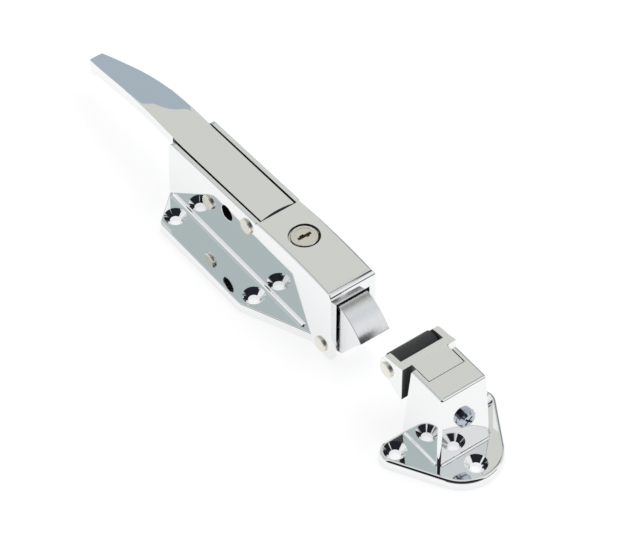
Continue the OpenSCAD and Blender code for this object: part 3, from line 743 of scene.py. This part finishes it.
class LATCH_OT_fittings(bpy.types.Operator):
    """Pins, lock and screws."""

    bl_idname = "latch.fittings"
    bl_label = "Pins, lock and screws"

    def execute(self, context):
        dress("nickel", "handle_pivot_pin", "handle_stop_pin", "bolt_pivot_pin")
        dress("nickel", "roller_pin", "lock_plug")
        dress("steel", "lever_pin", "lock_nut", "lock_cam", "lock_cam_screw", "screw_clip")
        dress("brass", "lock_wafers")
        dress("zinc", "adjust_screw")

        low, high = BOXES["lock_barrel"]
        middle = (low + high) / 2
        groove_r = (high.x - low.x) / 2 - 1.4
        groove_z = high.z - 2.0

        # The ring round the lock's face gets the dark finish: painted shade in the groove.
        def shaded_groove(place, normal):
            out = math.hypot(place.x - middle.x, place.y - middle.y)
            return out > groove_r and place.z > groove_z

        casting("lock_barrel", "lock_barrel_satin", "housing", "nickel", [], shaded_groove)
        return {"FINISHED"}


class LATCH_OT_strike(bpy.types.Operator):
    """Strike with its carriage and roller."""

    bl_idname = "latch.strike"
    bl_label = "Strike"

    def execute(self, context):
        edges = context.scene.latch_edges
        top = BOXES["strike_body"][1].z
        screw_tip = BOXES["adjust_screw"][1].x
        guide_half = 12.95
        box_half = 15.8
        base_top = 6.5
        front_x = screw_tip - 5.5

        def box_edge(place, along):
            level = place.z > top - 0.1 and abs(along.z) < 0.05
            upright = place.z > base_top + 3.0 and abs(along.z) > 20.0
            outer = place.x > front_x - 2.0 or abs(place.y) > box_half
            return outer and (level or (upright and place.x > front_x - 3.0))

        # Walls inside the box's guide, except roof and base, get the dark finish: painted shade in the hollow.
        def box_shaded(place, normal):
            roof = normal.z > 0.7 and place.z > top - 0.7
            base = normal.z > 0.7 and place.z < base_top + 0.5
            return abs(place.y) < guide_half and place.x < front_x - 1.0 and not (roof or base)

        casting(
            "strike_body",
            "strike_casting",
            "strike",
            "chrome",
            [(edges.box, box_edge)],
            box_shaded,
            merge=0.005,
        )

        roller_high = BOXES["roller"][1]
        back_x = roller_high.x + 6.0

        def carriage_edge(place, along):
            return clear_of_pins(place, ("roller_pin",), PIN_MARGIN)

        # Faces that get the painted shade: the back on the near side only, which the box shades, and the walls of
        # the roller's window.
        def carriage_shaded(place, normal):
            back = normal.x > 0.5 and place.x < back_x and place.y < 0.0
            window = abs(place.y) < roller_high.y + 0.4 and place.x < roller_high.x + 0.6
            return back or (window and normal.z < 0.4)

        casting(
            "roller_carriage",
            "carriage_casting",
            "carriage",
            "chrome",
            [(edges.casting, carriage_edge)],
            carriage_shaded,
            dull="shade",
        )
        dress("nylon", "roller")
        return {"FINISHED"}


def touch_angle(first, first_r, second, second_r):
    """Outward normal angle of the line that touches two circles on their right-hand side."""
    step = second - first
    return math.atan2(step.y, step.x) - math.acos((first_r - second_r) / step.length)


def toward(angle):
    """Unit vector at an angle in the plane of X and Z."""
    return Vector((math.cos(angle), math.sin(angle)))


def spring_path(values):
    """Middle line of the torsion spring, in millimetres, from its fixed leg to its moving leg."""
    wire_r = values.wire / MM / 2
    coil_r = values.coil / MM
    leg_y = 4.6
    low, high = BOXES["handle_stop_pin"]
    pin = (low + high) / 2
    level = BOXES["handle_spring"][0].z + wire_r
    hub = Vector((HANDLE_PIVOT.x, HANDLE_PIVOT.z))
    hole = in_mm(PADLOCK_HOLE["pos_m"])
    bend = Vector((hole.x + PADLOCK_HOLE["dims"]["r_mm"] + 2.0, level))
    bar = hub + Vector((19.3, -8.7))
    bar_off = 2.2 + wire_r + 0.12
    start = touch_angle(bend, 0.0, hub, coil_r)
    end = touch_angle(hub, coil_r, bar, bar_off) + 2 * math.pi * values.turns
    before = bend - Vector((2.4, 0.0))
    after = bend + 2.4 * toward(start + math.pi / 2)
    points = [(pin.x - 5.0, leg_y, level)]
    for i in range(9):
        t = i / 8
        p = (1 - t) ** 2 * before + 2 * t * (1 - t) * bend + t**2 * after
        points.append((p.x, leg_y, p.y))
    steps = 40 * values.turns
    for i in range(steps + 1):
        a = start + (end - start) * i / steps
        p = hub + coil_r * toward(a)
        points.append((p.x, leg_y * (1 - 2 * i / steps), p.y))
    p = bar + bar_off * toward(end) + 4.0 * toward(end + math.pi / 2)
    points.append((p.x, -leg_y, p.y))
    return points


def wire_tree():
    """Geometry nodes: a round wire along a curve."""
    tree = bpy.data.node_groups.new("round_wire", "GeometryNodeTree")
    face = tree.interface
    face.new_socket("Path", in_out="INPUT", socket_type="NodeSocketGeometry")
    face.new_socket("Wire Radius", in_out="INPUT", socket_type="NodeSocketFloat")
    face.new_socket("Sides", in_out="INPUT", socket_type="NodeSocketInt")
    face.new_socket("Finish", in_out="INPUT", socket_type="NodeSocketMaterial")
    face.new_socket("Wire", in_out="OUTPUT", socket_type="NodeSocketGeometry")
    nodes, links = tree.nodes, tree.links
    entry = nodes.new("NodeGroupInput")
    ring = nodes.new("GeometryNodeCurvePrimitiveCircle")
    links.new(entry.outputs["Sides"], ring.inputs["Resolution"])
    links.new(entry.outputs["Wire Radius"], ring.inputs["Radius"])
    sweep = nodes.new("GeometryNodeCurveToMesh")
    sweep.inputs["Fill Caps"].default_value = True
    links.new(entry.outputs["Path"], sweep.inputs["Curve"])
    links.new(ring.outputs["Curve"], sweep.inputs["Profile Curve"])
    smooth = nodes.new("GeometryNodeSetShadeSmooth")
    links.new(sweep.outputs["Mesh"], smooth.inputs["Geometry"])
    real = nodes.new("GeometryNodeRealizeInstances")
    links.new(smooth.outputs["Geometry"], real.inputs["Geometry"])
    painted = nodes.new("GeometryNodeSetMaterial")
    links.new(real.outputs["Geometry"], painted.inputs["Geometry"])
    links.new(entry.outputs["Finish"], painted.inputs["Material"])
    leave = nodes.new("NodeGroupOutput")
    links.new(painted.outputs["Geometry"], leave.inputs["Wire"])
    return tree


def grown(name, data, tree, values):
    """A mesh made by a Geometry Nodes tree from some data, with the tree's inputs set by name."""
    source = bpy.data.objects.new(name + "_source", data)
    bpy.context.scene.collection.objects.link(source)
    modifier = source.modifiers.new(name, "NODES")
    modifier.node_group = tree
    for item in tree.interface.items_tree:
        if item.in_out == "INPUT" and item.name in values:
            modifier[item.identifier] = values[item.name]
    shown = source.evaluated_get(bpy.context.evaluated_depsgraph_get())
    mesh = bpy.data.meshes.new_from_object(shown)
    mesh.name = name
    source.modifiers.remove(modifier)
    bpy.data.objects.remove(source)
    return mesh


class LATCH_OT_spring(bpy.types.Operator):
    """Torsion spring of the handle, as a smooth wire."""

    bl_idname = "latch.spring"
    bl_label = "Handle spring"

    def execute(self, context):
        values = context.scene.latch_spring
        curve = bpy.data.curves.new("spring_path", "CURVE")
        curve.dimensions = "3D"
        points = spring_path(values)
        spline = curve.splines.new("POLY")
        spline.points.add(len(points) - 1)
        for target, place in zip(spline.points, points):
            target.co = (*(c * MM for c in place), 1.0)
        sizes = {"Wire Radius": values.wire / 2, "Sides": 16, "Finish": finish("steel")}
        mesh = grown("spring_wire", curve, wire_tree(), sizes)
        add_piece("spring_wire", mesh, "housing", "steel", "handle_spring")
        return {"FINISHED"}


# Stage


# Cards of the studio, painted one over the other: middle azimuth, half width, lowest and
# highest elevation and softness of the edges, all in degrees, and colour.
CARDS = {
    "warm_ceiling": ((140.0, 75.0, 10.0, 86.0, 3.0), linear(214, 215, 209)),
    "cool_far_wall": ((112.0, 17.0, -8.0, 38.0, 3.0), linear(140, 149, 156)),
    "cool_side_wall": ((217.0, 30.0, 30.0, 64.0, 6.0), linear(186, 198, 198)),
    "grey_overhead": ((62.0, 30.0, 48.0, 62.0, 5.0), linear(216, 221, 223)),
    "dark_camera_side": ((-40.0, 58.0, 17.0, 74.0, 4.0), linear(34, 37, 43)),
    "dark_strip_overhead": ((95.0, 13.0, 44.0, 67.5, 2.0), linear(80, 82, 84)),
    "dark_front_horizon": ((-10.0, 60.0, -1.0, 15.0, 3.0), linear(70, 73, 78)),
}
SURROUND = (0.9, 0.905, 0.91)
KEY_PLACE = (60.0, 70.0)
KEY_DISTANCE = 1.6
KEY_SIZE = (0.9, 0.6)


def card_group():
    """Shader group: mask of one card by azimuth and elevation in degrees."""
    group, entry, leave = new_group(
        "studio_card",
        {
            "Azimuth": 0.0,
            "Elevation": 0.0,
            "Middle": 0.0,
            "Half Width": 20.0,
            "Low": 0.0,
            "High": 30.0,
            "Softness": 2.0,
        },
        ("Mask",),
    )
    got = entry.outputs
    turned = add_math(group, "SUBTRACT", got["Azimuth"], got["Middle"])
    aside = add_math(group, "ABSOLUTE", add_math(group, "WRAP", turned, 180.0, -180.0))
    mask = None
    for reach in (
        add_math(group, "SUBTRACT", got["Half Width"], aside),
        add_math(group, "SUBTRACT", got["Elevation"], got["Low"]),
        add_math(group, "SUBTRACT", got["High"], got["Elevation"]),
    ):
        ramp = group.nodes.new("ShaderNodeMapRange")
        ramp.interpolation_type = "SMOOTHSTEP"
        group.links.new(reach, ramp.inputs["Value"])
        group.links.new(add_math(group, "MULTIPLY", got["Softness"], -1.0), ramp.inputs["From Min"])
        group.links.new(got["Softness"], ramp.inputs["From Max"])
        edge = ramp.outputs["Result"]
        mask = edge if mask is None else add_math(group, "MULTIPLY", mask, edge)
    group.links.new(mask, leave.inputs["Mask"])
    return group


# Outline of the near card, in millimetres: place along the card and height over the floor.
NEAR_CARD = (
    (40, 3),
    (40, 90),
    (14, 146),
    (-6, 184),
    (-14, 208),
    (-17, 226),
    (-15, 235),
    (-4, 243),
    (10, 249),
    (27, 252),
    (50, 250),
    (71, 245),
    (94, 231),
    (114, 217),
    (150, 187),
    (210, 130),
    (210, 3),
)
NEAR_CARD_COLOUR = linear(172, 185, 195)
NEAR_CARD_AZIMUTH = 148.0
NEAR_CARD_OUT = 0.3


def add_stage(name, places, material):
    """A flat piece of the stage through the given places."""
    mesh = bpy.data.meshes.new(name)
    mesh.from_pydata(places, [], [tuple(range(len(places)))])
    mesh.materials.append(material)
    flat = bpy.data.objects.new(name, mesh)
    bpy.context.scene.collection.objects.link(flat)
    return flat


def level_places(low, high, z):
    """Corners of a level rectangle."""
    return [(low[0], low[1], z), (high[0], low[1], z), (high[0], high[1], z), (low[0], high[1], z)]


def make_near_card():
    """A cool card standing beyond the grip, which shows only in polished metal."""
    away = direction(NEAR_CARD_AZIMUTH, 0.0) * NEAR_CARD_OUT
    along = direction(NEAR_CARD_AZIMUTH + 90.0, 0.0)
    places = [away + along * u * MM + Vector((0, 0, z * MM)) for u, z in NEAR_CARD]
    material, shader = new_material("near_card")
    shader.inputs["Base Color"].default_value = (0.0, 0.0, 0.0, 1.0)
    shader.inputs["Specular IOR Level"].default_value = 0.0
    shader.inputs["Emission Color"].default_value = (*NEAR_CARD_COLOUR, 1.0)
    shader.inputs["Emission Strength"].default_value = 1.0
    card = add_stage("near_card", places, material)
    for kind in ("camera", "diffuse", "transmission", "volume_scatter", "shadow"):
        setattr(card, "visible_" + kind, False)


def make_studio():
    """White surroundings with cards that show in the metal, and one soft lamp."""
    world = bpy.data.worlds.new("studio")
    bpy.context.scene.world = world
    world.use_nodes = True
    tree = world.node_tree
    coords = tree.nodes.new("ShaderNodeTexCoord")
    parts = tree.nodes.new("ShaderNodeSeparateXYZ")
    tree.links.new(coords.outputs["Generated"], parts.inputs["Vector"])
    x, y, z = (parts.outputs[axis] for axis in "XYZ")
    azimuth = add_math(tree, "DEGREES", add_math(tree, "ARCTAN2", y, x))
    elevation = add_math(tree, "DEGREES", add_math(tree, "ARCSINE", z))
    group = card_group()
    keys = ("Middle", "Half Width", "Low", "High", "Softness")
    colour = SURROUND
    for name, (shape, tint) in CARDS.items():
        values = dict(zip(keys, shape))
        card = add_group(tree, group, {"Azimuth": azimuth, "Elevation": elevation, **values})
        card.name = name
        colour = add_mix(tree, card.outputs["Mask"], colour, tint)
    path = tree.nodes.new("ShaderNodeLightPath")
    seen = add_mix(tree, path.outputs["Is Camera Ray"], colour, (1.0, 1.0, 1.0))
    tree.links.new(seen, tree.nodes["Background"].inputs["Color"])

    lamp = bpy.data.lights.new("soft_key", "AREA")
    lamp.shape = "RECTANGLE"
    lamp.size, lamp.size_y = KEY_SIZE
    lamp.energy = bpy.context.scene.latch_studio.key_power
    key = bpy.data.objects.new("soft_key", lamp)
    bpy.context.scene.collection.objects.link(key)
    key.location = direction(*KEY_PLACE) * KEY_DISTANCE
    key.rotation_euler = key.location.to_track_quat("Z", "Y").to_euler()
    key.visible_camera = False
    key.visible_glossy = False


def make_floor():
    """A wide white floor that keeps the object's shadow."""
    half = 6.0
    drop = 0.2 * MM
    material, shader = new_material("white_floor")
    tree = material.node_tree
    nodes, links = tree.nodes, tree.links
    nodes.remove(shader)
    plain = nodes.new("ShaderNodeBsdfDiffuse")
    plain.inputs["Color"].default_value = (0.8, 0.8, 0.8, 1.0)
    shaded = nodes.new("ShaderNodeBsdfDiffuse")
    shaded.inputs["Color"].default_value = (0.3, 0.3, 0.3, 1.0)
    glow = nodes.new("ShaderNodeEmission")
    glow.inputs["Color"].default_value = (1.0, 1.0, 1.0, 1.0)
    glow.inputs["Strength"].default_value = 0.82
    both = nodes.new("ShaderNodeAddShader")
    links.new(shaded.outputs["BSDF"], both.inputs[0])
    links.new(glow.outputs["Emission"], both.inputs[1])
    path = nodes.new("ShaderNodeLightPath")
    seen = path.outputs["Is Camera Ray"]
    for name in ("Is Glossy Ray", "Is Transmission Ray"):
        seen = add_math(tree, "MAXIMUM", seen, path.outputs[name])
    mix = nodes.new("ShaderNodeMixShader")
    links.new(seen, mix.inputs["Fac"])
    links.new(plain.outputs["BSDF"], mix.inputs[1])
    links.new(both.outputs["Shader"], mix.inputs[2])
    links.new(mix.outputs["Shader"], nodes["Material Output"].inputs["Surface"])
    add_stage("floor", level_places((-half, -half), (half, half), -drop), material)


def make_shade():
    """A black sheet that paints the shade on the door's face inside the housing, seen through the padlock hole."""
    low, high = BOXES["latch_housing"]
    half = BOXES["handle"][1].y * MM
    inset = 15.0
    drop = 0.1 * MM
    material, shader = new_material("door_shade")
    shader.inputs["Base Color"].default_value = (0.01, 0.01, 0.01, 1.0)
    shader.inputs["Roughness"].default_value = 0.9
    start, end = (low.x + inset) * MM, (high.x - inset) * MM
    add_stage("door_shade", level_places((start, -half), (end, half), -drop), material)


def make_camera(studio):
    """The long-lens camera of the picture."""
    data = bpy.data.cameras.new("camera")
    data.lens = studio.lens
    data.sensor_width = 36.0
    data.clip_end = 50.0
    camera = bpy.data.objects.new("camera", data)
    bpy.context.scene.collection.objects.link(camera)
    out = direction(studio.azimuth, studio.elevation)
    camera.location = Vector(studio.target) + out * studio.distance
    aim = (-out).to_track_quat("-Z", "Y").to_matrix().to_4x4()
    turn = aim @ Matrix.Rotation(math.radians(studio.roll), 4, "Z")
    camera.rotation_euler = turn.to_euler()
    bpy.context.scene.camera = camera


class LATCH_OT_stage(bpy.types.Operator):
    """Floor, studio light and camera."""

    bl_idname = "latch.stage"
    bl_label = "Stage"

    def execute(self, context):
        make_floor()
        make_shade()
        make_near_card()
        make_studio()
        make_camera(context.scene.latch_studio)
        context.scene.view_settings.view_transform = "Standard"
        return {"FINISHED"}


# Panel and registration


class LATCH_PT_panel(bpy.types.Panel):
    """Lists the latch's pieces and their values."""

    bl_idname = "LATCH_PT_panel"
    bl_label = "Latch"
    bl_space_type = "VIEW_3D"
    bl_region_type = "UI"
    bl_category = "Latch"

    def draw(self, context):
        layout = self.layout
        for operator in OPERATORS:
            layout.operator(operator.bl_idname)
        for group in GROUPS:
            values = getattr(context.scene, group)
            box = layout.box()
            for key in values.__annotations__:
                box.prop(values, key)


OPERATORS = (
    LATCH_OT_housing,
    LATCH_OT_handle,
    LATCH_OT_bolt,
    LATCH_OT_spring,
    LATCH_OT_fittings,
    LATCH_OT_strike,
    LATCH_OT_stage,
)
GROUPS = {
    "latch_finish": LATCH_PG_finish,
    "latch_edges": LATCH_PG_edges,
    "latch_spring": LATCH_PG_spring,
    "latch_studio": LATCH_PG_studio,
}
CLASSES = (*GROUPS.values(), *OPERATORS, LATCH_PT_panel)


def register():
    for cls in CLASSES:
        bpy.utils.register_class(cls)
    for name, cls in GROUPS.items():
        setattr(bpy.types.Scene, name, bpy.props.PointerProperty(type=cls))


def unregister():
    for name in GROUPS:
        delattr(bpy.types.Scene, name)
    for cls in reversed(CLASSES):
        bpy.utils.unregister_class(cls)


def main():
    register()
    for operator in OPERATORS:
        area, name = operator.bl_idname.split(".")
        getattr(getattr(bpy.ops, area), name)()


if __name__ == "__main__":
    main()
